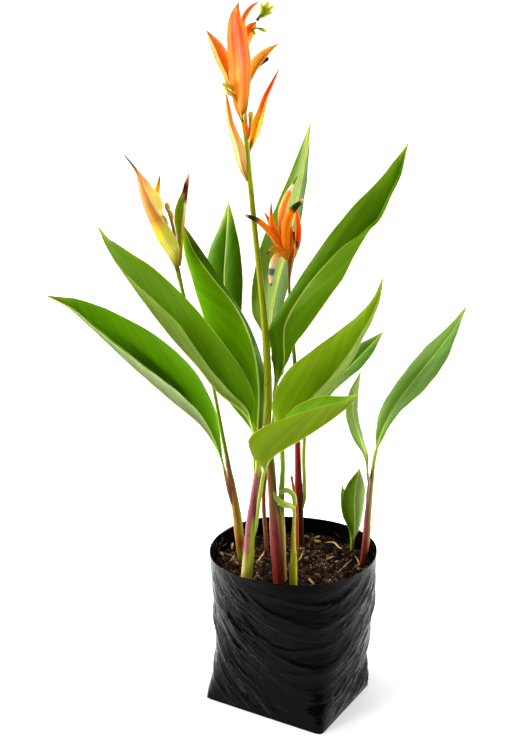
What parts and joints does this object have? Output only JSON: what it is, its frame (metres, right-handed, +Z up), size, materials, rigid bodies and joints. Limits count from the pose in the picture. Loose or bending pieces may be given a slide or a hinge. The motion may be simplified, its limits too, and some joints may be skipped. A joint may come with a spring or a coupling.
{
  "type": "potted plant",
  "caption": "Young heliconia: a clump of leafy shoots with orange boat-shaped bracts, growing from potting mix in a gusseted film grow bag.",
  "frame": {"origin": "middle of the bag's flat base, on the floor", "axes": "+Z up, along the shoots; -Y towards the side that faces the viewer; +X to the viewer's right"},
  "size_m": [0.4362, 0.212, 0.777],
  "materials": {
    "film_black": "gloss",
    "potting_mix": "matte",
    "green_stalk": "satin",
    "red_sheath": "satin",
    "tan_sheath": "satin",
    "dry_brown": "matte",
    "leaf_green": "satin",
    "leaf_young": "satin",
    "bract_orange": "satin",
    "bract_yellow": "satin",
    "bud_yellow": "satin"
  },
  "bodies": {
    "root": {"grow_bag": "film_black", "potting_soil": "potting_mix", "shoot_left": "green_stalk", "shoot_front": "red_sheath", "shoot_main": "green_stalk", "shoot_slim": "tan_sheath", "shoot_young": "tan_sheath", "shoot_back": "red_sheath", "shoot_right": "red_sheath", "shoot_small": "tan_sheath", "dry_stem": "dry_brown", "dry_stub": "dry_brown", "leaf_left_low": "leaf_green", "leaf_left_high": "leaf_green", "leaf_left_back": "leaf_green", "leaf_back_flat": "leaf_green", "leaf_back_tall": "leaf_green", "leaf_right_high": "leaf_green", "leaf_right_mid": "leaf_green", "leaf_right_behind": "leaf_green", "leaf_front": "leaf_green", "leaf_right_small": "leaf_green", "leaf_right_far": "leaf_green", "leaf_low_right": "leaf_green", "leaf_low_second": "leaf_green", "leaf_young_curl": "leaf_young", "bloom_top": "bract_orange", "bloom_top_buds": "bud_yellow", "bloom_left": "bract_yellow", "bloom_left_green_bract": "leaf_young", "bloom_middle": "bract_orange"}
  },
  "joints": []
}
